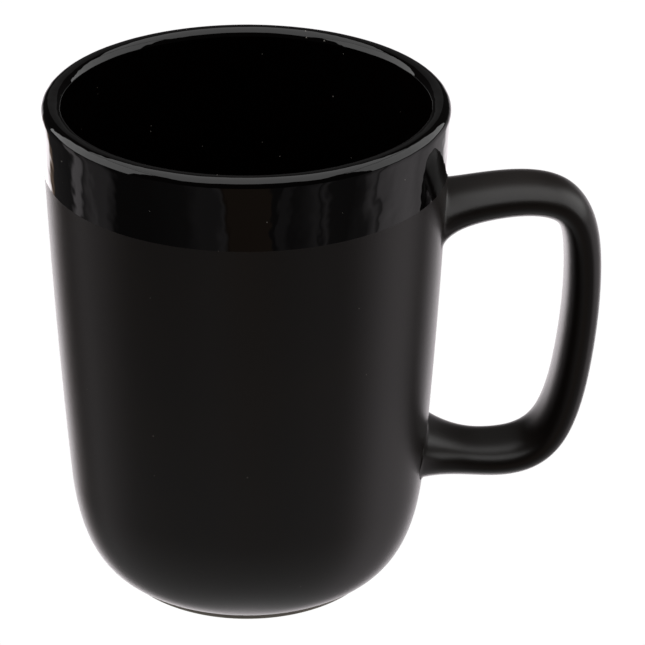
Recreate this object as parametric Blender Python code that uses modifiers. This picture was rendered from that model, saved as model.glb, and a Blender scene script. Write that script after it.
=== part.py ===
"""Stoneware mug: a turned cup and a strap handle, stuck together with slip, under black glaze.

Metres, +Z up. The foot ring rests on Z = 0 and the handle points along +X. The origin is below
the middle of the whole mug, so the cup's own axis stands a little towards -X.
"""

import math

import bmesh
import bpy

# Driving dimensions of the glazed mug.
CUP_HEIGHT = 0.1150
RIM_RADIUS = 0.0447
WALL_BASE_RADIUS = 0.0407
WALL_BELLY = 0.0005
WALL_THICKNESS = 0.0048
LIP_HEIGHT = 0.0022
CORNER_HEIGHT = 0.0228
CORNER_START_RADIUS = 0.0318
CORNER_POWER = 1.2
FLOOR_HEIGHT = 0.0088
INNER_CORNER_RADIUS = 0.0180
BAND_BOTTOM = 0.0988

# Foot ring and the recess inside it.
FOOT_HEIGHT = 0.0026
FOOT_OUTER_RADIUS = 0.0306
FOOT_INNER_RADIUS = 0.0270
FOOT_ROUNDING = 0.0004
RECESS_HEIGHT = 0.0024
BASE_GLAZE_SKIRT = 0.0008

# Coats, the slip bed and the clearance that keeps neighbouring solids apart.
GLAZE = 0.0004
GAP = 0.0003
SLIP = 0.0010

# Handle: a strap section swept along a centre line of (distance from the cup's axis, height).
STRAP_THICKNESS = 0.0080
STRAP_WIDTH = 0.0168
STRAP_SQUARENESS = 2.3
HANDLE_PATH = (
    (0.0401, 0.0863),
    (0.0427, 0.0875),
    (0.0524, 0.0904),
    (0.0736, 0.0915),
    (0.0764, 0.0737),
    (0.0757, 0.0538),
    (0.0716, 0.0275),
    (0.0575, 0.0231),
    (0.0456, 0.0256),
    (0.0385, 0.0276),
)
PATH_FLARE = (1.7, 1.15, 1.0, 1.0, 1.0, 1.0, 1.0, 1.05, 0.95, 1.6)
ROOT_RUN_IN = 0.0100
HANDLE_REACH = 0.0800
HANDLE_MIDDLE = 0.0560

# Facets and tolerances.
TURN_STEPS = 48
WALL_STEPS = 3
CORNER_STEPS = 8
LIP_STEPS = 8
STRAP_SIDES = 20
PATH_RESOLUTION = 4
MERGE = 0.00001

CLAY_DEPTH = GLAZE + GAP
CUP_AXIS_X = (RIM_RADIUS - HANDLE_REACH) / 2


def clear_scene():
    for obj in list(bpy.data.objects):
        bpy.data.objects.remove(obj, do_unlink=True)


def new_collection(name):
    collection = bpy.data.collections.new(name)
    bpy.context.scene.collection.children.link(collection)
    return collection


def new_material(name, colour, roughness):
    material = bpy.data.materials.new(name)
    material.use_nodes = True
    shader = material.node_tree.nodes["Principled BSDF"]
    shader.inputs["Base Color"].default_value = (*colour, 1.0)
    shader.inputs["Roughness"].default_value = roughness
    shader.inputs["Metallic"].default_value = 0.0
    return material


# Lines of the turned cup as (radius, height). Each takes a depth below the glazed surface, so
# one set of lines gives the glaze's two faces and the clay under it.

def wall_radius(height):
    """Radius of the glazed wall between the lower corner and the lip: a taper with a slight belly."""
    bottom = FOOT_HEIGHT + CORNER_HEIGHT
    share = (height - bottom) / (CUP_HEIGHT - LIP_HEIGHT - bottom)
    taper = WALL_BASE_RADIUS + (RIM_RADIUS - WALL_BASE_RADIUS) * share
    return taper + WALL_BELLY * 4 * share * (1 - share)


def outer_wall_line(top, bottom, depth):
    """Down the outside of the wall."""
    heights = [top + (bottom - top) * step / WALL_STEPS for step in range(WALL_STEPS + 1)]
    return [(wall_radius(height) - depth, height) for height in heights]


def outer_corner_line(depth):
    """Round the outer lower corner, from the foot of the wall in to the foot ring."""
    centre_height = FOOT_HEIGHT + CORNER_HEIGHT
    across = WALL_BASE_RADIUS - CORNER_START_RADIUS - depth
    down = CORNER_HEIGHT - depth
    line = []
    for step in range(1, CORNER_STEPS + 1):
        angle = math.pi / 2 * (1 - step / CORNER_STEPS)
        radius = CORNER_START_RADIUS + across * math.sin(angle) ** CORNER_POWER
        line.append((radius, centre_height - down * math.cos(angle)))
    return line


def inner_wall_radius(height):
    return wall_radius(height) - WALL_THICKNESS


def inside_line(depth):
    """From the cup's axis across the inner floor, round its corner and up to the lip."""
    corner_top = FLOOR_HEIGHT + INNER_CORNER_RADIUS
    corner_centre = inner_wall_radius(FOOT_HEIGHT + CORNER_HEIGHT) - INNER_CORNER_RADIUS
    reach = INNER_CORNER_RADIUS + depth
    line = [(0.0, FLOOR_HEIGHT - depth)]
    for step in range(CORNER_STEPS):
        angle = math.pi / 2 * step / CORNER_STEPS
        line.append((corner_centre + reach * math.sin(angle), corner_top - reach * math.cos(angle)))
    lip_start = CUP_HEIGHT - LIP_HEIGHT
    for step in range(WALL_STEPS + 1):
        height = corner_top + (lip_start - corner_top) * step / WALL_STEPS
        line.append((inner_wall_radius(height) + depth, height))
    return line


def lip_line(depth):
    """Over the lip from inside to outside, between the ends of the two walls."""
    middle = RIM_RADIUS - WALL_THICKNESS / 2
    line = []
    for step in range(1, LIP_STEPS):
        angle = math.pi * (1 - step / LIP_STEPS)
        across = (WALL_THICKNESS / 2 - depth) * math.cos(angle)
        line.append((middle + across, CUP_HEIGHT - LIP_HEIGHT + (LIP_HEIGHT - depth) * math.sin(angle)))
    return line


def foot_ring_line():
    """From the clay above the foot ring, round the ring and across the recess to the axis."""
    clay_bottom = FOOT_HEIGHT + CLAY_DEPTH
    return [
        (FOOT_OUTER_RADIUS, clay_bottom),
        (FOOT_OUTER_RADIUS, FOOT_ROUNDING),
        (FOOT_OUTER_RADIUS - FOOT_ROUNDING, 0.0),
        (FOOT_INNER_RADIUS + FOOT_ROUNDING, 0.0),
        (FOOT_INNER_RADIUS, FOOT_ROUNDING),
        (FOOT_INNER_RADIUS, RECESS_HEIGHT + CLAY_DEPTH),
        (0.0, RECESS_HEIGHT + CLAY_DEPTH),
    ]


def turned(name, line, collection, closed=False):
    """A Screw of the line about the cup's axis. The line runs down its outer side."""
    mesh = bpy.data.meshes.new(name)
    points = [(radius, 0.0, height) for radius, height in line]
    edges = [(i, i + 1) for i in range(len(points) - 1)]
    if closed:
        edges.append((len(points) - 1, 0))
    mesh.from_pydata(points, edges, [])
    obj = bpy.data.objects.new(name, mesh)
    collection.objects.link(obj)
    screw = obj.modifiers.new("Turn", "SCREW")
    screw.axis = "Z"
    screw.angle = math.tau
    screw.steps = TURN_STEPS
    screw.render_steps = TURN_STEPS
    screw.use_merge_vertices = True
    screw.merge_threshold = MERGE
    return obj


def strap_section(name, inset, collection):
    """The strap's rounded outline: its width across, its thickness up, both inset all round."""
    curve = bpy.data.curves.new(name, "CURVE")
    curve.dimensions = "2D"
    spline = curve.splines.new("POLY")
    spline.points.add(STRAP_SIDES - 1)
    spline.use_cyclic_u = True
    for index, point in enumerate(spline.points):
        angle = math.tau * index / STRAP_SIDES
        across = math.copysign(abs(math.cos(angle)) ** (2 / STRAP_SQUARENESS), math.cos(angle))
        up = math.copysign(abs(math.sin(angle)) ** (2 / STRAP_SQUARENESS), math.sin(angle))
        point.co = ((STRAP_WIDTH / 2 - inset) * across, (STRAP_THICKNESS / 2 - inset) * up, 0.0, 1.0)
    section = bpy.data.objects.new(name, curve)
    collection.objects.link(section)
    return section


def strap(name, inset, collection, guides):
    """The strap section swept along the handle's centre line, as a closed mesh."""
    section = strap_section(name + "_section", inset, guides)
    curve = bpy.data.curves.new(name + "_path", "CURVE")
    curve.dimensions = "3D"
    spline = curve.splines.new("NURBS")
    spline.points.add(len(HANDLE_PATH) - 1)
    for point, (distance, height), flare in zip(spline.points, HANDLE_PATH, PATH_FLARE):
        point.co = (distance, 0.0, height, 1.0)
        point.radius = flare
    spline.order_u = 4
    spline.use_endpoint_u = True
    spline.resolution_u = PATH_RESOLUTION
    curve.bevel_mode = "OBJECT"
    curve.bevel_object = section
    curve.use_fill_caps = True
    path = bpy.data.objects.new(name + "_path", curve)
    guides.objects.link(path)

    bpy.context.view_layer.update()
    evaluated = path.evaluated_get(bpy.context.evaluated_depsgraph_get())
    mesh = bpy.data.meshes.new_from_object(evaluated)
    mesh.name = name
    finish_strap(mesh)
    obj = bpy.data.objects.new(name, mesh)
    obj.matrix_world = path.matrix_world.copy()
    collection.objects.link(obj)
    bpy.data.objects.remove(path, do_unlink=True)
    bpy.data.objects.remove(section, do_unlink=True)
    return obj


def finish_strap(mesh):
    """Weld the caps, and run both ends straight on into the cup for the trim to cut through."""
    shape = bmesh.new()
    shape.from_mesh(mesh)
    bmesh.ops.remove_doubles(shape, verts=shape.verts, dist=MERGE)
    caps = [face for face in shape.faces if len(face.verts) == 3]
    ends = bmesh.ops.extrude_face_region(shape, geom=caps)["geom"]
    end_verts = [item for item in ends if isinstance(item, bmesh.types.BMVert)]
    bmesh.ops.translate(shape, verts=end_verts, vec=(-ROOT_RUN_IN, 0.0, 0.0))
    bmesh.ops.delete(shape, geom=caps, context="FACES")
    bmesh.ops.recalc_face_normals(shape, faces=shape.faces)
    shape.to_mesh(mesh)
    shape.free()


def cut(obj, operation, other):
    boolean = obj.modifiers.new(operation.capitalize() + " " + other.name, "BOOLEAN")
    boolean.operation = operation
    boolean.solver = "EXACT"
    boolean.object = other


def hide_cutter(obj):
    obj.hide_render = True
    obj.display_type = "WIRE"


def outer_shell_line(depth):
    """A closed line round everything inside the cup's outer surface, used to trim the handle."""
    wall = outer_wall_line(CUP_HEIGHT, FOOT_HEIGHT + CORNER_HEIGHT, depth)
    return [(0.0, CUP_HEIGHT)] + wall + outer_corner_line(depth) + [(0.0, FOOT_HEIGHT + depth)]


# Sub-parts.

def make_cup_body(parts):
    corner_top = FOOT_HEIGHT + CORNER_HEIGHT
    line = inside_line(CLAY_DEPTH) + lip_line(CLAY_DEPTH)
    line += outer_wall_line(CUP_HEIGHT - LIP_HEIGHT, corner_top, CLAY_DEPTH)
    line += outer_corner_line(CLAY_DEPTH) + foot_ring_line()
    return turned("cup_body", line, parts)


def make_gloss_glaze(parts):
    lip_end = CUP_HEIGHT - LIP_HEIGHT
    face = inside_line(0.0) + lip_line(0.0) + outer_wall_line(lip_end, BAND_BOTTOM, 0.0)
    back = inside_line(GLAZE) + lip_line(GLAZE) + outer_wall_line(lip_end, BAND_BOTTOM, GLAZE)
    return turned("gloss_glaze", face + back[::-1], parts)


def make_matte_glaze_body(parts, window):
    top = BAND_BOTTOM - GAP
    corner_top = FOOT_HEIGHT + CORNER_HEIGHT
    face = outer_wall_line(top, corner_top, 0.0) + outer_corner_line(0.0)
    back = outer_wall_line(top, corner_top, GLAZE) + outer_corner_line(GLAZE)
    coat = turned("matte_glaze_body", face + back[::-1], parts, closed=True)
    cut(coat, "DIFFERENCE", window)
    return coat


def make_matte_glaze_base(parts):
    """The glaze in the recess under the cup, with a short skirt down the foot ring's inner side."""
    edge = FOOT_INNER_RADIUS - GAP
    top = RECESS_HEIGHT + GLAZE
    skirt_bottom = RECESS_HEIGHT - BASE_GLAZE_SKIRT
    line = [
        (0.0, top),
        (edge, top),
        (edge, skirt_bottom),
        (edge - GLAZE, skirt_bottom),
        (edge - GLAZE - BASE_GLAZE_SKIRT / 2, RECESS_HEIGHT),
        (0.0, RECESS_HEIGHT),
    ]
    return turned("matte_glaze_base", line, parts)


def make_handle(parts, guides, cup_and_slip):
    handle = strap("handle", CLAY_DEPTH, parts, guides)
    cut(handle, "DIFFERENCE", cup_and_slip)
    return handle


def make_matte_glaze_handle(parts, guides, cup):
    coat = strap("matte_glaze_handle", 0.0, parts, guides)
    core = strap("handle_glaze_core", GLAZE, guides, guides)
    hide_cutter(core)
    cut(coat, "DIFFERENCE", core)
    cut(coat, "DIFFERENCE", cup)
    return coat


def make_slip_joint(name, bottom, top, parts, guides):
    """The bed of slip between a root and the cup: the handle's own outline, one shell thick."""
    joint = strap(name, CLAY_DEPTH, parts, guides)
    shell = slip_shell(name + "_shell", bottom, top, guides)
    cut(joint, "INTERSECT", shell)
    return joint


def slip_shell(name, bottom, top, guides):
    """A ring between the clay wall's clearance and the handle's, over one root's height."""
    outer = shell_side(bottom, top, GLAZE - SLIP)
    inner = shell_side(bottom, top, GLAZE)
    ring = turned(name, outer + inner[::-1], guides, closed=True)
    hide_cutter(ring)
    return ring


def shell_side(bottom, top, depth):
    """The part of the cup's outer line between two heights, moved by a depth."""
    corner_top = FOOT_HEIGHT + CORNER_HEIGHT
    side = outer_wall_line(top, max(bottom, corner_top), depth)
    if bottom < corner_top:
        side += [point for point in outer_corner_line(depth) if point[1] > bottom]
    return side


def build():
    clear_scene()
    parts = new_collection("ceramic_mug")
    guides = new_collection("cutters")

    cup_trim = turned("cup_trim", outer_shell_line(GLAZE), guides)
    root_trim = turned("root_trim", outer_shell_line(GLAZE - SLIP - GAP), guides)
    window = strap("glaze_window", -GAP, guides, guides)
    for cutter in (cup_trim, root_trim, window):
        hide_cutter(cutter)

    clay = new_material("fired stoneware", (0.52, 0.47, 0.41), 0.85)
    slip = new_material("fired slip", (0.58, 0.53, 0.47), 0.9)
    gloss = new_material("gloss black glaze", (0.004, 0.004, 0.004), 0.05)
    matte = new_material("matte black glaze", (0.012, 0.011, 0.011), 0.45)

    upper_root = (HANDLE_MIDDLE, BAND_BOTTOM - GLAZE)
    lower_root = (FOOT_HEIGHT + CORNER_HEIGHT / 4, HANDLE_MIDDLE)
    finished = (
        (make_cup_body(parts), clay),
        (make_handle(parts, guides, root_trim), clay),
        (make_slip_joint("upper_slip_joint", *upper_root, parts, guides), slip),
        (make_slip_joint("lower_slip_joint", *lower_root, parts, guides), slip),
        (make_gloss_glaze(parts), gloss),
        (make_matte_glaze_body(parts, window), matte),
        (make_matte_glaze_handle(parts, guides, cup_trim), matte),
        (make_matte_glaze_base(parts), matte),
    )

    cup_axis = bpy.data.objects.new("cup_axis", None)
    cup_axis.location = (CUP_AXIS_X, 0.0, 0.0)
    parts.objects.link(cup_axis)
    for obj, material in finished:
        obj.data.materials.append(material)
        obj.parent = cup_axis
    for cutter in guides.objects:
        cutter.parent = cup_axis


build()
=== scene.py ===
"""Looks of the stoneware mug: glaze coats turned and swept over the clay, round the fixed frame.

Metres, +Z up. The cup is turned about its own axis, the handle is a strap swept along a curve,
and each coat of glaze is a closed skin of its real thickness.
"""

import math

import bmesh
import bpy
from mathutils import Matrix, Vector


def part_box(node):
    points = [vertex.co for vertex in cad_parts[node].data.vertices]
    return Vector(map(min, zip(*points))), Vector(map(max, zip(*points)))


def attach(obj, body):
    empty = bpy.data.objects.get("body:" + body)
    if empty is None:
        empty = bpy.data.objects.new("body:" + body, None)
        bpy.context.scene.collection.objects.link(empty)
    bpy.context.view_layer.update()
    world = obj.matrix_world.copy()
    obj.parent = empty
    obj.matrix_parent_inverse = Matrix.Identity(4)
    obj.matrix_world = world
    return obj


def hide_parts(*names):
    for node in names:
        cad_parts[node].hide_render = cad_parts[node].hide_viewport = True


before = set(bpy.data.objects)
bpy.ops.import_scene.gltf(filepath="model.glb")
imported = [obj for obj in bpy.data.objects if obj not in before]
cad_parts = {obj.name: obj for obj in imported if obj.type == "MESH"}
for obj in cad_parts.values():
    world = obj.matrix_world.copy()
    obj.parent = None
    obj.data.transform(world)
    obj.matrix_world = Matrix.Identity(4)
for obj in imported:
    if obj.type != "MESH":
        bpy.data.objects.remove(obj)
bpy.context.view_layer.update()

MM = 0.001

# Sizes read from the frame.
gloss_low, gloss_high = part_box("gloss_glaze")
wall_low, wall_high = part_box("matte_glaze_body")
COAT_GAP = 0.3 * MM
CUP_AXIS_X = (gloss_low.x + gloss_high.x) / 2
RIM_RADIUS = (gloss_high.y - gloss_low.y) / 2
CUP_HEIGHT = gloss_high.z
BAND_BOTTOM = wall_high.z + COAT_GAP
FOOT_HEIGHT = wall_low.z

# The thrown and turned cup. CORNER_SAG is how far the lower corner hangs below its plain curve.
WALL_BASE_RADIUS = 40.7 * MM
WALL_BELLY = 0.5 * MM
WALL_THICKNESS = 4.8 * MM
LIP_HEIGHT = 2.2 * MM
CORNER_HEIGHT = 22.8 * MM
CORNER_START_RADIUS = 31.8 * MM
CORNER_POWER = 1.2
CORNER_SAG = 0.35 * MM
FLOOR_HEIGHT = 8.8 * MM
INNER_CORNER_RADIUS = 18.0 * MM
FOOT_OUTER_RADIUS = 30.6 * MM
FOOT_INNER_RADIUS = 27.0 * MM
FOOT_ROUNDING = 0.4 * MM
RECESS_HEIGHT = 2.4 * MM
CORNER_TOP = FOOT_HEIGHT + CORNER_HEIGHT
WALL_TOP = CUP_HEIGHT - LIP_HEIGHT

# The glaze coats: their thickness, how far they lie clear of the clay, and their edges, wiped back
# on the outside of the foot ring and run down on its inside.
GLAZE = 0.4 * MM
CLAY_CLEARANCE = 0.02 * MM
CLAY_DEPTH = GLAZE + CLAY_CLEARANCE
FOOT_COAT = 0.25 * MM
WIPED_LINE = 0.35 * MM
BASE_SKIRT = 0.8 * MM

# The pressed strap handle. Its line is given as distance from the cup's axis and height, both in
# metres, and the flare of the section there. A squareness of 2 is an oval, and more is boxier.
STRAP_THICKNESS = 8.0 * MM
STRAP_WIDTH = 17.0 * MM
STRAP_CROWN_SQUARENESS = 2.1
STRAP_INNER_SQUARENESS = 2.4
HANDLE_PATH = (
    (0.0401, 0.0863, 1.7),
    (0.0427, 0.0875, 1.15),
    (0.0524, 0.0904, 1.0),
    (0.0736, 0.0915, 1.0),
    (0.0764, 0.0737, 1.0),
    (0.0757, 0.0538, 1.0),
    (0.0716, 0.0275, 1.0),
    (0.0575, 0.0231, 1.05),
    (0.0456, 0.0256, 0.95),
    (0.0385, 0.0276, 1.6),
)
ROOT_RUN_IN = 10.0 * MM
ROOT_FILLET = 0.6 * MM
ROOT_BITE = 0.03 * MM

# How finely the shapes are cut.
TURN_STEPS = 240
WALL_STEPS = 36
CORNER_STEPS = 40
LIP_STEPS = 28
STRAP_SIDES = 72
STRAP_RINGS = 420
PATH_RESOLUTION = 48
FOOT_ARC_STEPS = 6
SKIRT_ARC_STEPS = 8
SHARP_EDGE = math.radians(38)

# Working sizes that leave no mark on the shapes: points closer than MERGE become one, the guide
# circle carries an outline round, and the ring line holds the strap's rings before they are laid.
MERGE = 1e-6
GUIDE_RADIUS = 40.0 * MM
RING_LINE_LENGTH = 0.1

# Some sockets share a name within one node, so they go by number.
NUMBER_A, NUMBER_B = 2, 3
COLOUR_A, COLOUR_B, COLOUR_OUT = 6, 7, 2

# The strap's side faces have this many corners, and its end caps have more.
QUAD_CORNERS = 4


# ---------------------------------------------------------------- small tools

def linear(hex_colour):
    """An sRGB hex colour as the linear RGBA that shaders take."""
    channels = [int(hex_colour[i:i + 2], 16) / 255 for i in (1, 3, 5)]
    return (*[c / 12.92 if c <= 0.04045 else ((c + 0.055) / 1.055) ** 2.4 for c in channels], 1.0)


def add(tree, kind, inputs=None, **settings):
    """Add one node: its own settings, then each input's value or the socket that feeds it."""
    node = tree.nodes.new(kind)
    for name, value in settings.items():
        setattr(node, name, value)
    for socket, value in (inputs or {}).items():
        if isinstance(value, bpy.types.NodeSocket):
            tree.links.new(value, node.inputs[socket])
        else:
            node.inputs[socket].default_value = value
    return node


def set_stops(ramp, stops):
    """Give a colour ramp its stops, as (place, colour)."""
    elements = ramp.color_ramp.elements
    while len(elements) > 1:
        elements.remove(elements[-1])
    elements[0].position, elements[0].color = stops[0]
    for place, colour in stops[1:]:
        elements.new(place).color = colour


def new_tree(name, sizes):
    """A geometry tree with a geometry input, the named sizes and a finish."""
    tree = bpy.data.node_groups.new(name, "GeometryNodeTree")
    tree.interface.new_socket("Geometry", in_out="INPUT", socket_type="NodeSocketGeometry")
    for size, kind in sizes:
        tree.interface.new_socket(size, in_out="INPUT", socket_type="NodeSocket" + kind)
    tree.interface.new_socket("Finish", in_out="INPUT", socket_type="NodeSocketMaterial")
    tree.interface.new_socket("Geometry", in_out="OUTPUT", socket_type="NodeSocketGeometry")
    return tree


def finish_tree(tree, geometry, finish):
    """End a tree: smooth faces, real geometry, and the finish on it."""
    smooth = add(tree, "GeometryNodeSetShadeSmooth", {"Geometry": geometry})
    real = add(tree, "GeometryNodeRealizeInstances", {"Geometry": smooth.outputs[0]})
    coated = add(tree, "GeometryNodeSetMaterial", {"Geometry": real.outputs[0], "Material": finish})
    add(tree, "NodeGroupOutput", {"Geometry": coated.outputs[0]})


def shape_with(obj, tree, values):
    """Run a tree on an object with these named inputs."""
    modifier = obj.modifiers.new(tree.name, "NODES")
    modifier.node_group = tree
    for item in tree.interface.items_tree:
        if item.in_out == "INPUT" and item.name in values:
            modifier[item.identifier] = values[item.name]
    return modifier


def to_plain_mesh(obj, name):
    """The evaluated shape as a plain mesh object; the working object goes."""
    bpy.context.view_layer.update()
    evaluated = obj.evaluated_get(bpy.context.evaluated_depsgraph_get())
    mesh = bpy.data.meshes.new_from_object(evaluated)
    mesh.name = name
    bpy.data.objects.remove(obj, do_unlink=True)
    shape = bmesh.new()
    shape.from_mesh(mesh)
    bmesh.ops.remove_doubles(shape, verts=shape.verts, dist=MERGE)
    bmesh.ops.recalc_face_normals(shape, faces=shape.faces)
    shape.to_mesh(mesh)
    shape.free()
    mesh.shade_smooth()
    mesh.set_sharp_from_angle(angle=SHARP_EDGE)
    plain = bpy.data.objects.new(name, mesh)
    bpy.context.scene.collection.objects.link(plain)
    return plain


def cut_away(obj, cutter):
    """Cut the cutter's shape out of an object."""
    boolean = obj.modifiers.new("Cut " + cutter.name, "BOOLEAN")
    boolean.operation = "DIFFERENCE"
    boolean.solver = "EXACT"
    boolean.object = cutter


# ------------------------------------------------- outlines, as (radius, height)

def wall_radius(height):
    """Radius of the glazed wall: a taper with a slight belly."""
    share = (height - CORNER_TOP) / (WALL_TOP - CORNER_TOP)
    taper = WALL_BASE_RADIUS + (RIM_RADIUS - WALL_BASE_RADIUS) * share
    return taper + WALL_BELLY * 4 * share * (1 - share)


def outer_wall_line(top, bottom, depth):
    """Down the outside of the wall, this deep under the glaze's face."""
    heights = [top + (bottom - top) * step / WALL_STEPS for step in range(WALL_STEPS + 1)]
    return [(wall_radius(height) - depth, height) for height in heights]


def outer_corner_line(depth):
    """Round the outer lower corner, from the foot of the wall in to the foot ring.

    It leaves the wall at the wall's own slope (lean) and eases into its curve, so there is no kink.
    """
    across = WALL_BASE_RADIUS - CORNER_START_RADIUS - depth
    down = CORNER_HEIGHT + CORNER_SAG - depth
    lean = (RIM_RADIUS - WALL_BASE_RADIUS + 4 * WALL_BELLY) / (WALL_TOP - CORNER_TOP)
    line = []
    for step in range(1, CORNER_STEPS + 1):
        angle = math.pi / 2 * (1 - step / CORNER_STEPS)
        drop = down * math.cos(angle)
        ease = lean * drop * (1 - drop / down) ** 2
        radius = CORNER_START_RADIUS + across * math.sin(angle) ** CORNER_POWER - ease
        line.append((radius, CORNER_TOP - drop))
    return line


def inside_line(depth):
    """From the cup's axis across the inner floor, round its corner and up to the lip."""
    corner_top = FLOOR_HEIGHT + INNER_CORNER_RADIUS
    corner_centre = wall_radius(CORNER_TOP) - WALL_THICKNESS - INNER_CORNER_RADIUS
    reach = INNER_CORNER_RADIUS + depth
    line = [(0.0, FLOOR_HEIGHT - depth)]
    for step in range(CORNER_STEPS):
        angle = math.pi / 2 * step / CORNER_STEPS
        line.append((corner_centre + reach * math.sin(angle), corner_top - reach * math.cos(angle)))
    for step in range(WALL_STEPS + 1):
        height = corner_top + (WALL_TOP - corner_top) * step / WALL_STEPS
        line.append((wall_radius(height) - WALL_THICKNESS + depth, height))
    return line


def lip_line(depth):
    """Over the lip from inside to outside, as half an ellipse."""
    middle = RIM_RADIUS - WALL_THICKNESS / 2
    line = []
    for step in range(1, LIP_STEPS):
        angle = math.pi * (1 - step / LIP_STEPS)
        across = (WALL_THICKNESS / 2 - depth) * math.cos(angle)
        line.append((middle + across, WALL_TOP + (LIP_HEIGHT - depth) * math.sin(angle)))
    return line


def arc(centre, radius, start, end, steps):
    """Points round an arc, with angles in degrees from the outward direction."""
    angles = [math.radians(start + (end - start) * step / steps) for step in range(steps + 1)]
    return [(centre[0] + radius * math.cos(a), centre[1] + radius * math.sin(a)) for a in angles]


def foot_ring_line():
    """From the clay above the foot ring, round the ring and across the recess to the axis."""
    outer = FOOT_OUTER_RADIUS - FOOT_ROUNDING
    inner = FOOT_INNER_RADIUS + FOOT_ROUNDING
    line = [(FOOT_OUTER_RADIUS, FOOT_HEIGHT + CLAY_DEPTH)]
    line += arc((outer, FOOT_ROUNDING), FOOT_ROUNDING, 0, -90, FOOT_ARC_STEPS)
    line += arc((inner, FOOT_ROUNDING), FOOT_ROUNDING, -90, -180, FOOT_ARC_STEPS)
    line += [(FOOT_INNER_RADIUS, RECESS_HEIGHT + CLAY_DEPTH), (0.0, RECESS_HEIGHT + CLAY_DEPTH)]
    return line


# ---------------------------------------------------------------- geometry trees

def make_wheel_tree():
    """Turns an outline of (radius, 0, height) about the cup's axis, as on a wheel."""
    sizes = (
        ("Turn steps", "Int"), ("Guide radius", "Float"), ("Axis X", "Float"), ("Merge", "Float"),
    )
    tree = new_tree("Turned on the wheel", sizes)
    given = add(tree, "NodeGroupInput").outputs
    outline = add(tree, "GeometryNodeMeshToCurve", {"Mesh": given["Geometry"]})
    position = add(tree, "GeometryNodeInputPosition").outputs[0]
    place = add(tree, "ShaderNodeSeparateXYZ", {0: position}).outputs
    out = add(tree, "ShaderNodeMath", {0: place["X"], 1: given["Guide radius"]}, operation="SUBTRACT")
    down = add(tree, "ShaderNodeMath", {0: place["Z"], 1: -1.0}, operation="MULTIPLY")
    flat = add(tree, "ShaderNodeCombineXYZ", {"X": out.outputs[0], "Y": down.outputs[0]})
    rib = add(tree, "GeometryNodeSetPosition",
              {"Geometry": outline.outputs[0], "Position": flat.outputs[0]})
    circle = add(tree, "GeometryNodeCurvePrimitiveCircle",
                 {"Resolution": given["Turn steps"], "Radius": given["Guide radius"]})
    level = add(tree, "GeometryNodeSetCurveNormal", {"Curve": circle.outputs[0]}, mode="Z_UP")
    spun = add(tree, "GeometryNodeCurveToMesh",
               {"Curve": level.outputs[0], "Profile Curve": rib.outputs[0]})
    closed = add(tree, "GeometryNodeMergeByDistance",
                 {"Geometry": spun.outputs[0], "Distance": given["Merge"]})
    shift = add(tree, "ShaderNodeCombineXYZ", {"X": given["Axis X"]})
    placed = add(tree, "GeometryNodeTransform",
                 {"Geometry": closed.outputs[0], "Translation": shift.outputs[0]})
    finish_tree(tree, placed.outputs[0], given["Finish"])
    return tree


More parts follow.
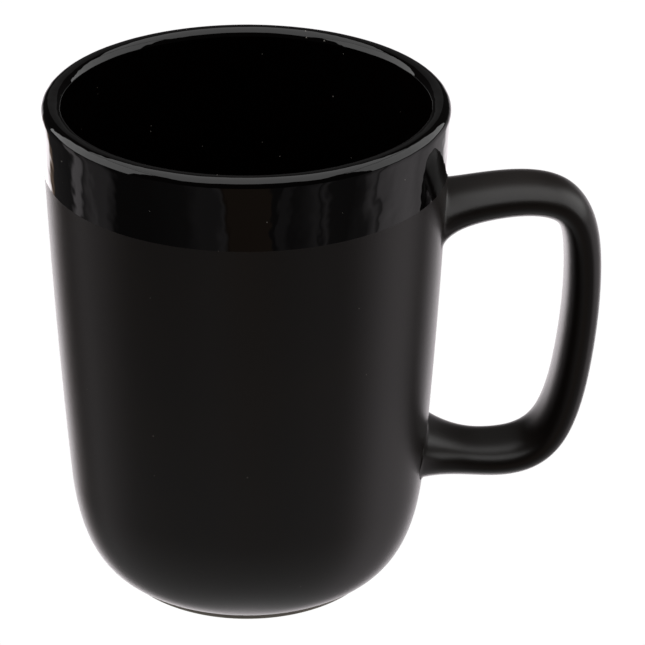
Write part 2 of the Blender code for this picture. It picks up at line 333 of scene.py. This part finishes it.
def make_strap_tree():
    """Sweeps the strap's rounded section along the handle's line and fillets it on to the cup."""
    sizes = (
        ("Width", "Float"), ("Thickness", "Float"),
        ("Crown squareness", "Float"), ("Inner squareness", "Float"),
        ("Sides", "Int"), ("Rings", "Int"), ("Run-in", "Float"), ("Fillet", "Float"),
        ("Wall base radius", "Float"), ("Rim radius", "Float"), ("Belly", "Float"),
        ("Wall bottom", "Float"), ("Wall top", "Float"), ("Axis X", "Float"),
    )
    tree = new_tree("Pressed strap", sizes)
    given = add(tree, "NodeGroupInput").outputs
    position = add(tree, "GeometryNodeInputPosition").outputs[0]

    def calc(operation, *values):
        return add(tree, "ShaderNodeMath", dict(enumerate(values)), operation=operation).outputs[0]

    # The section: a circle pressed towards a rectangle, more so on the finger side.
    circle = add(tree, "GeometryNodeCurvePrimitiveCircle",
                 {"Resolution": given["Sides"], "Radius": 1.0})
    round_xy = add(tree, "ShaderNodeSeparateXYZ", {0: position}).outputs
    inner_side = calc("GREATER_THAN", round_xy["Y"], 0.0)
    extra = calc("SUBTRACT", given["Inner squareness"], given["Crown squareness"])
    squareness = calc("ADD", given["Crown squareness"], calc("MULTIPLY", inner_side, extra))
    power = calc("DIVIDE", 2.0, squareness)
    pressed = []
    for axis, size in (("X", "Width"), ("Y", "Thickness")):
        bulge = calc("POWER", calc("ABSOLUTE", round_xy[axis]), power)
        half = calc("MULTIPLY", given[size], 0.5)
        pressed.append(calc("MULTIPLY", calc("MULTIPLY", bulge, calc("SIGN", round_xy[axis])), half))
    corner = add(tree, "ShaderNodeCombineXYZ", {"X": pressed[0], "Y": pressed[1]})
    section = add(tree, "GeometryNodeSetPosition",
                  {"Geometry": circle.outputs[0], "Position": corner.outputs[0]})

    # Rings along the line, closest together at the two roots.
    ring = add(tree, "GeometryNodeInputIndex").outputs[0]
    share = calc("DIVIDE", ring, calc("SUBTRACT", given["Rings"], 1.0))
    swing = calc("COSINE", calc("MULTIPLY", share, math.pi))
    eased = calc("MULTIPLY", calc("SUBTRACT", 1.0, swing), 0.5)
    sampled = add(tree, "GeometryNodeSampleCurve",
                  {"Curves": given["Geometry"], "Factor": eased,
                   "Value": add(tree, "GeometryNodeInputRadius").outputs[0]})
    line = add(tree, "GeometryNodeCurvePrimitiveLine", {"End": (RING_LINE_LENGTH, 0.0, 0.0)})
    dense = add(tree, "GeometryNodeResampleCurve", {"Curve": line.outputs[0], "Count": given["Rings"]})
    laid = add(tree, "GeometryNodeSetPosition",
               {"Geometry": dense.outputs[0], "Position": sampled.outputs["Position"]})
    swept = add(tree, "GeometryNodeCurveToMesh",
                {"Curve": laid.outputs[0], "Profile Curve": section.outputs[0],
                 "Scale": sampled.outputs["Value"], "Fill Caps": True})

    # Both ends run straight on into the cup.
    corners = add(tree, "GeometryNodeInputMeshFaceNeighbors").outputs["Vertex Count"]
    caps = add(tree, "FunctionNodeCompare", {NUMBER_A: corners, NUMBER_B: QUAD_CORNERS},
               data_type="INT", operation="GREATER_THAN")
    run_in = add(tree, "GeometryNodeExtrudeMesh",
                 {"Mesh": swept.outputs[0], "Selection": caps.outputs[0], "Offset": (-1.0, 0.0, 0.0),
                  "Offset Scale": given["Run-in"], "Individual": False}, mode="FACES")

    # A fillet where the strap meets the wall: the skin spreads sideways as it nears the cup.
    spot = add(tree, "ShaderNodeSeparateXYZ", {0: position}).outputs
    flat = add(tree, "ShaderNodeCombineXYZ", {"X": spot["X"], "Y": spot["Y"]}).outputs[0]
    from_axis = add(tree, "ShaderNodeVectorMath", {0: flat}, operation="LENGTH").outputs["Value"]
    rise = calc("SUBTRACT", given["Wall top"], given["Wall bottom"])
    up = calc("DIVIDE", calc("SUBTRACT", spot["Z"], given["Wall bottom"]), rise)
    taper = calc("MULTIPLY", calc("SUBTRACT", given["Rim radius"], given["Wall base radius"]), up)
    bow = calc("MULTIPLY", calc("MULTIPLY", calc("SUBTRACT", 1.0, up), up), 4.0)
    cone = calc("ADD", given["Wall base radius"], taper)
    wall = calc("ADD", cone, calc("MULTIPLY", bow, given["Belly"]))
    away = calc("DIVIDE", calc("SUBTRACT", from_axis, wall), calc("MAXIMUM", given["Fillet"], MERGE))
    near = calc("SUBTRACT", 1.0, calc("MINIMUM", calc("MAXIMUM", away, 0.0), 1.0))
    hollow = calc("SQRT", calc("SUBTRACT", 1.0, calc("MULTIPLY", near, near)))
    spread = calc("MULTIPLY", calc("SUBTRACT", 1.0, hollow), given["Fillet"])
    outward = add(tree, "ShaderNodeVectorMath", {0: flat}, operation="NORMALIZE").outputs[0]
    normal = add(tree, "GeometryNodeInputNormal").outputs[0]
    towards = add(tree, "ShaderNodeVectorMath", {0: normal, 1: outward},
                  operation="PROJECT").outputs[0]
    sideways = add(tree, "ShaderNodeVectorMath", {0: normal, 1: towards},
                   operation="SUBTRACT").outputs[0]
    along = add(tree, "ShaderNodeVectorMath", {0: sideways}, operation="NORMALIZE").outputs[0]
    offset = add(tree, "ShaderNodeVectorMath", {0: along, "Scale": spread},
                 operation="SCALE").outputs[0]
    spread_out = add(tree, "GeometryNodeSetPosition", {"Geometry": run_in.outputs[0], "Offset": offset})
    shift = add(tree, "ShaderNodeCombineXYZ", {"X": given["Axis X"]})
    placed = add(tree, "GeometryNodeTransform",
                 {"Geometry": spread_out.outputs[0], "Translation": shift.outputs[0]})
    finish_tree(tree, placed.outputs[0], given["Finish"])
    return tree


wheel_tree = make_wheel_tree()
strap_tree = make_strap_tree()


def turned(name, outline, finish, closed=False):
    """An outline turned about the cup's axis."""
    mesh = bpy.data.meshes.new(name + "_outline")
    edges = [(i, i + 1) for i in range(len(outline) - 1)]
    if closed:
        edges.append((len(outline) - 1, 0))
    mesh.from_pydata([(radius, 0.0, height) for radius, height in outline], edges, [])
    obj = bpy.data.objects.new(name + "_outline", mesh)
    bpy.context.scene.collection.objects.link(obj)
    shape_with(obj, wheel_tree, {
        "Turn steps": TURN_STEPS, "Guide radius": GUIDE_RADIUS, "Axis X": CUP_AXIS_X,
        "Merge": MERGE, "Finish": finish,
    })
    return obj


def swept(name, inset, fillet, finish):
    """The strap, inset all round, with a fillet at each root."""
    curve = bpy.data.curves.new(name + "_line", "CURVE")
    curve.dimensions = "3D"
    spline = curve.splines.new("NURBS")
    spline.points.add(len(HANDLE_PATH) - 1)
    for point, (distance, height, flare) in zip(spline.points, HANDLE_PATH):
        point.co = (distance, 0.0, height, 1.0)
        point.radius = flare
    spline.order_u = 4
    spline.use_endpoint_u = True
    spline.resolution_u = PATH_RESOLUTION
    obj = bpy.data.objects.new(name + "_line", curve)
    bpy.context.scene.collection.objects.link(obj)
    shape_with(obj, strap_tree, {
        "Width": STRAP_WIDTH - 2 * inset, "Thickness": STRAP_THICKNESS - 2 * inset,
        "Crown squareness": STRAP_CROWN_SQUARENESS, "Inner squareness": STRAP_INNER_SQUARENESS,
        "Sides": STRAP_SIDES, "Rings": STRAP_RINGS,
        "Run-in": ROOT_RUN_IN, "Fillet": fillet, "Wall base radius": WALL_BASE_RADIUS,
        "Rim radius": RIM_RADIUS, "Belly": WALL_BELLY, "Wall bottom": CORNER_TOP,
        "Wall top": WALL_TOP, "Axis X": CUP_AXIS_X, "Finish": finish,
    })
    return obj


# ---------------------------------------------------------------- finishes

def new_finish(name, colour, roughness, ior):
    """A finish with its plain values, which hold wherever no texture feeds them."""
    material = bpy.data.materials.new(name)
    material.use_nodes = True
    shader = material.node_tree.nodes["Principled BSDF"]
    shader.inputs["Base Color"].default_value = linear(colour)
    shader.inputs["Roughness"].default_value = roughness
    shader.inputs["IOR"].default_value = ior
    return material, material.node_tree, shader


def per_mm(size):
    """Texture scale that gives features of this many millimetres."""
    return 1 / (size * MM)


def add_specks(tree, place, spacing, size, share):
    """A mask of tiny round specks: one in some of the cells of this spacing, in millimetres."""
    cells = add(tree, "ShaderNodeTexVoronoi",
                {"Vector": place, "Scale": per_mm(spacing), "Randomness": 1.0})
    dot = add(tree, "ShaderNodeMath", {0: cells.outputs["Distance"], 1: size / 2 / spacing},
              operation="LESS_THAN").outputs[0]
    chance = add(tree, "ShaderNodeSeparateColor", {0: cells.outputs["Color"]}).outputs[0]
    chosen = add(tree, "ShaderNodeMath", {0: chance, 1: share}, operation="LESS_THAN").outputs[0]
    return add(tree, "ShaderNodeMath", {0: dot, 1: chosen}, operation="MULTIPLY").outputs[0]


def gloss_black_glaze():
    """Gloss black glaze, dipped and fired to a full melt.

    To the eye: near-black glass with a faint warm depth, sharp reflections whose edges wander with
    the glaze's slow ripple, and a few pale pin-prick specks.
    """
    material, tree, shader = new_finish("dipped gloss black glaze", "#070505", 0.03, 1.5)
    place = add(tree, "ShaderNodeTexCoord").outputs["Object"]
    depth = add(tree, "ShaderNodeTexNoise", {"Vector": place, "Scale": per_mm(11.0), "Detail": 2.0})
    tone = add(tree, "ShaderNodeMix", {
        "Factor": depth.outputs["Fac"], COLOUR_A: linear("#020101"), COLOUR_B: linear("#050303"),
    }, data_type="RGBA").outputs[COLOUR_OUT]
    specks = add_specks(tree, place, spacing=2.0, size=0.30, share=0.08)
    colour = add(tree, "ShaderNodeMix", {
        "Factor": specks, COLOUR_A: tone, COLOUR_B: linear("#8a8680"),
    }, data_type="RGBA").outputs[COLOUR_OUT]
    tree.links.new(colour, shader.inputs["Base Color"])
    slow = add(tree, "ShaderNodeTexNoise", {"Vector": place, "Scale": per_mm(6.0), "Detail": 0.0})
    quick = add(tree, "ShaderNodeTexNoise", {"Vector": place, "Scale": per_mm(2.0), "Detail": 0.0})
    ripple = add(tree, "ShaderNodeBump",
                 {"Height": slow.outputs["Fac"], "Strength": 1.0, "Distance": 0.160 * MM})
    peel = add(tree, "ShaderNodeBump",
               {"Height": quick.outputs["Fac"], "Strength": 1.0, "Distance": 0.030 * MM,
                "Normal": ripple.outputs[0]})
    tree.links.new(peel.outputs[0], shader.inputs["Normal"])
    return material


def matte_black_glaze():
    """Matte black glaze, sprayed and fired.

    To the eye: a warm soft black with a low sheen, slightly cloudy where the spray lay thicker, a
    fine dry grain that breaks up highlights, and the odd pale speck.
    """
    material, tree, shader = new_finish("sprayed matte black glaze", "#12100e", 0.40, 1.5)
    place = add(tree, "ShaderNodeTexCoord").outputs["Object"]
    cloud = add(tree, "ShaderNodeTexNoise", {"Vector": place, "Scale": per_mm(16.0), "Detail": 3.0})
    tone = add(tree, "ShaderNodeMix", {
        "Factor": cloud.outputs["Fac"], COLOUR_A: linear("#151110"), COLOUR_B: linear("#1e1813"),
    }, data_type="RGBA").outputs[COLOUR_OUT]
    specks = add_specks(tree, place, spacing=2.0, size=0.30, share=0.03)
    colour = add(tree, "ShaderNodeMix", {
        "Factor": specks, COLOUR_A: tone, COLOUR_B: linear("#77736c"),
    }, data_type="RGBA").outputs[COLOUR_OUT]
    tree.links.new(colour, shader.inputs["Base Color"])
    grain = add(tree, "ShaderNodeTexNoise", {"Vector": place, "Scale": per_mm(0.45), "Detail": 3.0})
    sheen = add(tree, "ShaderNodeMapRange",
                {"Value": grain.outputs["Fac"], "To Min": 0.29, "To Max": 0.40}).outputs[0]
    tree.links.new(sheen, shader.inputs["Roughness"])
    bump = add(tree, "ShaderNodeBump",
               {"Height": grain.outputs["Fac"], "Strength": 1.0, "Distance": 0.012 * MM})
    tree.links.new(bump.outputs[0], shader.inputs["Normal"])
    return material


def bare_stoneware():
    """Bare stoneware, turned and sponged before the firing.

    To the eye: a dry warm grey-buff clay, mottled where the sponge moved the fines, sandy to the
    touch and peppered with dark iron specks.
    """
    material, tree, shader = new_finish("bare fired stoneware", "#cac4b9", 0.85, 1.5)
    place = add(tree, "ShaderNodeTexCoord").outputs["Object"]
    mottle = add(tree, "ShaderNodeTexNoise", {"Vector": place, "Scale": per_mm(7.0), "Detail": 3.0})
    body = add(tree, "ShaderNodeMix", {
        "Factor": mottle.outputs["Fac"], COLOUR_A: linear("#b9b2a6"), COLOUR_B: linear("#dad5cb"),
    }, data_type="RGBA").outputs[COLOUR_OUT]
    iron = add_specks(tree, place, spacing=1.6, size=0.50, share=0.30)
    colour = add(tree, "ShaderNodeMix", {
        "Factor": iron, COLOUR_A: body, COLOUR_B: linear("#4a3528"),
    }, data_type="RGBA").outputs[COLOUR_OUT]
    tree.links.new(colour, shader.inputs["Base Color"])
    sand = add(tree, "ShaderNodeTexNoise", {"Vector": place, "Scale": per_mm(0.6), "Detail": 4.0})
    dryness = add(tree, "ShaderNodeMapRange",
                  {"Value": sand.outputs["Fac"], "To Min": 0.75, "To Max": 0.95}).outputs[0]
    tree.links.new(dryness, shader.inputs["Roughness"])
    bump = add(tree, "ShaderNodeBump",
               {"Height": sand.outputs["Fac"], "Strength": 0.4, "Distance": 0.1 * MM})
    tree.links.new(bump.outputs[0], shader.inputs["Normal"])
    return material


def fired_slip():
    """Joining slip, brushed on wet and fired.

    To the eye: the clay's own cream without its sand, finer and paler than the body, cloudy with
    the brush, and dotted with painted shade where air came out as pits.
    """
    material, tree, shader = new_finish("fired joining slip", "#d2cbbc", 0.9, 1.5)
    place = add(tree, "ShaderNodeTexCoord").outputs["Object"]
    brushed = add(tree, "ShaderNodeTexNoise", {"Vector": place, "Scale": per_mm(2.0), "Detail": 2.0})
    cream = add(tree, "ShaderNodeMix", {
        "Factor": brushed.outputs["Fac"], COLOUR_A: linear("#c4bcab"), COLOUR_B: linear("#e0dacd"),
    }, data_type="RGBA").outputs[COLOUR_OUT]
    # Painted shade: dark specks stand for the shade inside pits, which have no depth of their own here.
    pit_shade = add_specks(tree, place, spacing=1.0, size=0.25, share=0.30)
    colour = add(tree, "ShaderNodeMix", {
        "Factor": pit_shade, COLOUR_A: cream, COLOUR_B: linear("#6b6355"),
    }, data_type="RGBA").outputs[COLOUR_OUT]
    tree.links.new(colour, shader.inputs["Base Color"])
    grain = add(tree, "ShaderNodeTexNoise", {"Vector": place, "Scale": per_mm(0.3), "Detail": 2.0})
    dryness = add(tree, "ShaderNodeMapRange",
                  {"Value": grain.outputs["Fac"], "To Min": 0.82, "To Max": 0.96}).outputs[0]
    tree.links.new(dryness, shader.inputs["Roughness"])
    bump = add(tree, "ShaderNodeBump",
               {"Height": grain.outputs["Fac"], "Strength": 0.3, "Distance": 0.05 * MM})
    tree.links.new(bump.outputs[0], shader.inputs["Normal"])
    return material


gloss = gloss_black_glaze()
matte = matte_black_glaze()
clay = bare_stoneware()
slip = fired_slip()


# ---------------------------------------------------------------- pieces

def cup_solid(depth):
    """Everything inside the cup's outer surface, for trimming the handle's coat."""
    wall = outer_wall_line(CUP_HEIGHT, CORNER_TOP, depth)
    return [(0.0, CUP_HEIGHT)] + wall + outer_corner_line(depth) + [(0.0, FOOT_HEIGHT + depth)]


def make_clay_cup():
    line = inside_line(CLAY_DEPTH) + lip_line(CLAY_DEPTH)
    line += outer_wall_line(WALL_TOP, CORNER_TOP, CLAY_DEPTH)
    line += outer_corner_line(CLAY_DEPTH) + foot_ring_line()
    return to_plain_mesh(turned("clay_cup", line, clay), "clay_cup")


def make_gloss_coat():
    face = inside_line(0.0) + lip_line(0.0) + outer_wall_line(WALL_TOP, BAND_BOTTOM, 0.0)
    back = inside_line(GLAZE) + lip_line(GLAZE) + outer_wall_line(WALL_TOP, BAND_BOTTOM, GLAZE)
    return to_plain_mesh(turned("gloss_coat", face + back[::-1], gloss), "gloss_coat")


def make_matte_body_coat():
    """The matte coat, wiped back to a soft edge at the foot ring, with a window at each root."""
    skirt = FOOT_OUTER_RADIUS + FOOT_COAT
    face = outer_wall_line(BAND_BOTTOM, CORNER_TOP, 0.0) + outer_corner_line(0.0)
    face += arc((skirt + FOOT_COAT, FOOT_HEIGHT - FOOT_COAT), FOOT_COAT, 90, 180, FOOT_ARC_STEPS)
    face += arc((FOOT_OUTER_RADIUS, FOOT_HEIGHT - WIPED_LINE), FOOT_COAT, 0, -90, FOOT_ARC_STEPS)
    back = outer_wall_line(BAND_BOTTOM, CORNER_TOP, GLAZE) + outer_corner_line(GLAZE)
    back.append((FOOT_OUTER_RADIUS, FOOT_HEIGHT + GLAZE))
    coat = turned("matte_body_coat", face + back[::-1], matte, closed=True)
    window = swept("window", -COAT_GAP, 0.0, matte)
    cut_away(coat, window)
    piece = to_plain_mesh(coat, "matte_body_coat")
    bpy.data.objects.remove(window, do_unlink=True)
    return piece


def make_matte_handle_coat():
    """The coat over the handle, hollow for the clay and cut off where it meets the cup's skin."""
    coat = to_plain_mesh(swept("matte_handle_coat", 0.0, ROOT_FILLET, matte), "handle_coat_blank")
    core = to_plain_mesh(swept("handle_core", GLAZE, 0.0, matte), "handle_core")
    cup = to_plain_mesh(turned("cup_trim", cup_solid(ROOT_BITE), matte), "cup_trim")
    cut_away(coat, cup)
    cut_away(coat, core)
    piece = to_plain_mesh(coat, "matte_handle_coat")
    for cutter in (core, cup):
        bpy.data.objects.remove(cutter, do_unlink=True)
    return piece


def make_matte_base_coat():
    """The coat in the recess under the cup, with a skirt down the foot ring's inner side."""
    edge = FOOT_INNER_RADIUS
    skirt = RECESS_HEIGHT - BASE_SKIRT
    back = [(0.0, RECESS_HEIGHT + GLAZE), (edge, RECESS_HEIGHT + GLAZE), (edge, skirt)]
    face = arc((edge - BASE_SKIRT, skirt), BASE_SKIRT, 30, 90, SKIRT_ARC_STEPS)
    line = back + face + [(0.0, RECESS_HEIGHT)]
    return to_plain_mesh(turned("matte_base_coat", line, matte), "matte_base_coat")


PIECES = (
    (make_clay_cup, "cup_body", "bare_stoneware"),
    (make_gloss_coat, "gloss_glaze", "gloss_black_glaze"),
    (make_matte_body_coat, "matte_glaze_body", "matte_black_glaze"),
    (make_matte_handle_coat, "matte_glaze_handle", "matte_black_glaze"),
    (make_matte_base_coat, "matte_glaze_base", "matte_black_glaze"),
)
for make_piece, node_name, slot_name in PIECES:
    piece = make_piece()
    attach(piece, "root")
    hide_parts(node_name)

for node_name, finish in (("handle", clay), ("upper_slip_joint", slip), ("lower_slip_joint", slip)):
    for material_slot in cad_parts[node_name].material_slots:
        material_slot.material = finish


# ---------------------------------------------------------------- studio

# The studio round the table, as the glaze sees it below the horizon: azimuth in degrees from the
# handle's side, brightness and tint. The first half is the camera's side, the second is behind.
WHITE = (1.0, 1.0, 1.0, 1.0)
NEUTRAL = (1.0, 0.94, 0.97)
WARM = (1.0, 0.70, 0.50)
FRONT_CARDS = (
    (-180, 0.20, NEUTRAL), (-174, 0.08, NEUTRAL), (-171, 0.015, NEUTRAL), (-150, 0.02, NEUTRAL),
    (-128, 0.045, NEUTRAL), (-120, 0.10, NEUTRAL), (-110, 0.10, NEUTRAL), (-106.5, 0.19, NEUTRAL),
    (-104.5, 0.05, WARM), (-103, 0.10, WARM), (-80, 0.105, WARM), (-78.5, 0.03, NEUTRAL),
    (-76, 0.03, NEUTRAL), (-74.5, 0.10, NEUTRAL), (-70, 0.10, NEUTRAL), (-67.5, 0.045, NEUTRAL),
    (-57, 0.10, NEUTRAL), (-52.5, 0.17, NEUTRAL), (-50.5, 0.05, NEUTRAL), (-48, 0.20, NEUTRAL),
    (-44, 0.05, NEUTRAL), (-33, 0.04, NEUTRAL), (-24, 0.09, NEUTRAL), (-16.5, 0.35, NEUTRAL),
    (-13, 0.10, NEUTRAL), (-11, 0.45, NEUTRAL), (0, 0.60, NEUTRAL),
)
BACK_CARDS = (
    (0, 0.60, NEUTRAL), (12, 0.58, NEUTRAL), (20, 0.38, NEUTRAL), (52, 0.45, NEUTRAL),
    (59, 1.80, NEUTRAL), (84, 2.20, NEUTRAL), (98, 2.60, NEUTRAL),
    (117, 2.50, NEUTRAL), (120, 0.40, WARM), (124, 0.03, NEUTRAL),
    (150, 0.03, NEUTRAL), (153, 0.48, NEUTRAL), (159, 0.48, NEUTRAL), (161.5, 0.08, NEUTRAL),
    (169, 0.27, NEUTRAL), (172, 0.18, NEUTRAL), (180, 0.20, NEUTRAL),
)

# A colour ramp holds nothing above 1, so its brightness is kept as a share of this.
CARD_FULL = 4.0

# Heights from here on are the upward part of the direction the glaze looks in: -1 is straight
# down and 0 is level. Where it looks steeply down the cards are a little dimmer.
STEEP_CARDS = 0.90
STEEP_HEIGHT = -0.78
SHALLOW_HEIGHT = -0.5

# The cards fade out upwards, from the fade's height below level to just above it. The fade is tall
# behind the mug and short elsewhere, and it changes between these shares of a full turn.
FRONT_FADE = 0.06
BACK_FADE = 0.42
BACK_FADE_BEGINS = (0.60, 0.66)
BACK_FADE_ENDS = (0.84, 0.88)
HORIZON = 0.03

# The lit table straight below: brightness by how steeply the glaze looks down (1 is straight down).
TABLE_GLOW = ((0.52, 0.0), (0.62, 0.17), (0.75, 0.25), (0.90, 0.38), (0.97, 0.62), (1.0, 1.00))

# The faint light from everywhere else, and the white sheet behind and under the mug.
HAZE = 0.02
BACKDROP = 1.02
SHEET_SIZE = 6.0
SHEET_DROP = 0.0001


def add_floor():
    """A plain white sheet, evenly lit from below, that only the camera sees."""
    bpy.ops.mesh.primitive_plane_add(size=SHEET_SIZE, location=(0.0, 0.0, -SHEET_DROP))
    floor = bpy.context.object
    floor.name = "floor"
    material = bpy.data.materials.new("lit white sheet")
    material.use_nodes = True
    tree = material.node_tree
    tree.nodes.clear()
    glow = add(tree, "ShaderNodeEmission", {"Color": WHITE, "Strength": BACKDROP})
    add(tree, "ShaderNodeOutputMaterial", {"Surface": glow.outputs[0]})
    floor.data.materials.append(material)
    floor.visible_glossy = False
    floor.visible_diffuse = False
    floor.visible_shadow = False


def card_ramp(tree, around, cards):
    """Half of the studio's ring of cards as a colour ramp."""
    ramp = add(tree, "ShaderNodeValToRGB", {"Fac": around})
    stops = []
    for azimuth, level, tint in cards:
        colour = [level / CARD_FULL * channel for channel in tint]
        stops.append(((azimuth + 180) / 360, (*colour, 1.0)))
    set_stops(ramp, stops)
    return ramp.outputs["Color"]


def light_the_studio():
    """The camera sees plain white all round, and the glaze sees the cards, the table and the haze."""
    world = bpy.data.worlds.new("studio")
    bpy.context.scene.world = world
    world.use_nodes = True
    tree = world.node_tree
    tree.nodes.clear()
    direction = add(tree, "ShaderNodeTexCoord").outputs["Generated"]
    around = add(tree, "ShaderNodeTexGradient", {"Vector": direction},
                 gradient_type="RADIAL").outputs["Fac"]
    behind = add(tree, "ShaderNodeMath", {0: around, 1: 0.5}, operation="GREATER_THAN").outputs[0]
    front_ring = card_ramp(tree, around, FRONT_CARDS)
    back_ring = card_ramp(tree, around, BACK_CARDS)
    ring = add(tree, "ShaderNodeMix", {
        "Factor": behind, COLOUR_A: front_ring, COLOUR_B: back_ring,
    }, data_type="RGBA").outputs[COLOUR_OUT]
    height = add(tree, "ShaderNodeSeparateXYZ", {0: direction}).outputs["Z"]
    far = add(tree, "ShaderNodeMapRange",
              {"Value": around, "From Min": BACK_FADE_BEGINS[0], "From Max": BACK_FADE_BEGINS[1],
               "To Min": -FRONT_FADE, "To Max": -BACK_FADE}).outputs[0]
    near = add(tree, "ShaderNodeMapRange",
               {"Value": around, "From Min": BACK_FADE_ENDS[0], "From Max": BACK_FADE_ENDS[1],
                "To Min": 0.0, "To Max": 1.0}).outputs[0]
    edge = add(tree, "ShaderNodeMix",
               {"Factor": near, NUMBER_A: far, NUMBER_B: -FRONT_FADE}).outputs[0]
    below = add(tree, "ShaderNodeMapRange",
                {"Value": height, "From Min": edge, "From Max": HORIZON,
                 "To Min": CARD_FULL, "To Max": 0.0}).outputs[0]
    steep = add(tree, "ShaderNodeMapRange",
                {"Value": height, "From Min": STEEP_HEIGHT, "From Max": SHALLOW_HEIGHT,
                 "To Min": STEEP_CARDS, "To Max": 1.0}).outputs[0]
    dimmed = add(tree, "ShaderNodeVectorMath", {0: ring, "Scale": steep}, operation="SCALE")
    down = add(tree, "ShaderNodeMath", {0: height, 1: -1.0}, operation="MULTIPLY").outputs[0]
    table = add(tree, "ShaderNodeValToRGB", {"Fac": down})
    set_stops(table, [(place, (*[level / CARD_FULL] * 3, 1.0)) for place, level in TABLE_GLOW])
    lit = add(tree, "ShaderNodeVectorMath", {0: dimmed.outputs[0], 1: table.outputs["Color"]},
              operation="MAXIMUM")
    cards = add(tree, "ShaderNodeBackground", {"Color": lit.outputs[0], "Strength": below}).outputs[0]
    haze = add(tree, "ShaderNodeBackground", {"Color": WHITE, "Strength": HAZE}).outputs[0]
    seen = add(tree, "ShaderNodeAddShader", {0: cards, 1: haze}).outputs[0]
    white = add(tree, "ShaderNodeBackground", {"Color": WHITE, "Strength": BACKDROP})
    ray = add(tree, "ShaderNodeLightPath").outputs["Is Camera Ray"]
    mixed = add(tree, "ShaderNodeMixShader", {0: ray, 1: seen, 2: white.outputs[0]})
    add(tree, "ShaderNodeOutputWorld", {"Surface": mixed.outputs[0]})


def add_softbox(name, place, aim, size, radiance):
    """An area light whose cloth shines this brightly, aimed at a point."""
    light = bpy.data.lights.new(name, "AREA")
    light.shape = "RECTANGLE"
    light.size, light.size_y = size
    light.energy = radiance * math.pi * size[0] * size[1]
    box = bpy.data.objects.new(name, light)
    bpy.context.scene.collection.objects.link(box)
    box.location = place
    box.rotation_euler = (Vector(aim) - Vector(place)).to_track_quat("-Z", "Y").to_euler()
    box.visible_camera = False


# Softboxes: place, point aimed at, width and height, brightness of the cloth.
SOFTBOXES = (
    ("overhead softbox", (-0.02, -0.03, 0.95), (-0.02, -0.03, 0.0), (1.3, 1.26), 1.32),
    ("back panel", (0.0, 1.0, 0.70), (0.0, 0.0, 0.10), (0.7, 0.75), 0.07),
    ("right softbox", (0.75, 0.20, 0.58), (0.0, 0.20, 0.45), (1.1, 0.8), 1.35),
    ("left softbox", (-0.78, 0.20, 0.58), (0.0, 0.20, 0.45), (1.1, 0.8), 1.6),
)

# The camera, with its lens and sensor in millimetres.
CAMERA_PLACE = (-0.04885, -0.59538, 0.36480)
CAMERA_YAW = math.radians(4.633)
CAMERA_DIP = math.radians(27.093)
CAMERA_ROLL = math.radians(0.513)
CAMERA_LENS = 165.35
CAMERA_SENSOR = 36.0
CAMERA_CLIP = 0.01


def add_camera():
    """A long lens looking a little down on the mug, with the handle to its right."""
    data = bpy.data.cameras.new("camera")
    data.lens = CAMERA_LENS
    data.sensor_width = CAMERA_SENSOR
    data.clip_start = CAMERA_CLIP
    camera = bpy.data.objects.new("camera", data)
    bpy.context.scene.collection.objects.link(camera)
    turn = Matrix.Rotation(-CAMERA_YAW, 4, "Z") @ Matrix.Rotation(math.pi / 2 - CAMERA_DIP, 4, "X")
    turn = turn @ Matrix.Rotation(CAMERA_ROLL, 4, "Z")
    camera.matrix_world = Matrix.Translation(CAMERA_PLACE) @ turn
    bpy.context.scene.camera = camera


add_floor()
light_the_studio()
for name, place, aim, size, radiance in SOFTBOXES:
    add_softbox(name, place, aim, size, radiance)
add_camera()
bpy.context.scene.view_settings.view_transform = "Standard"
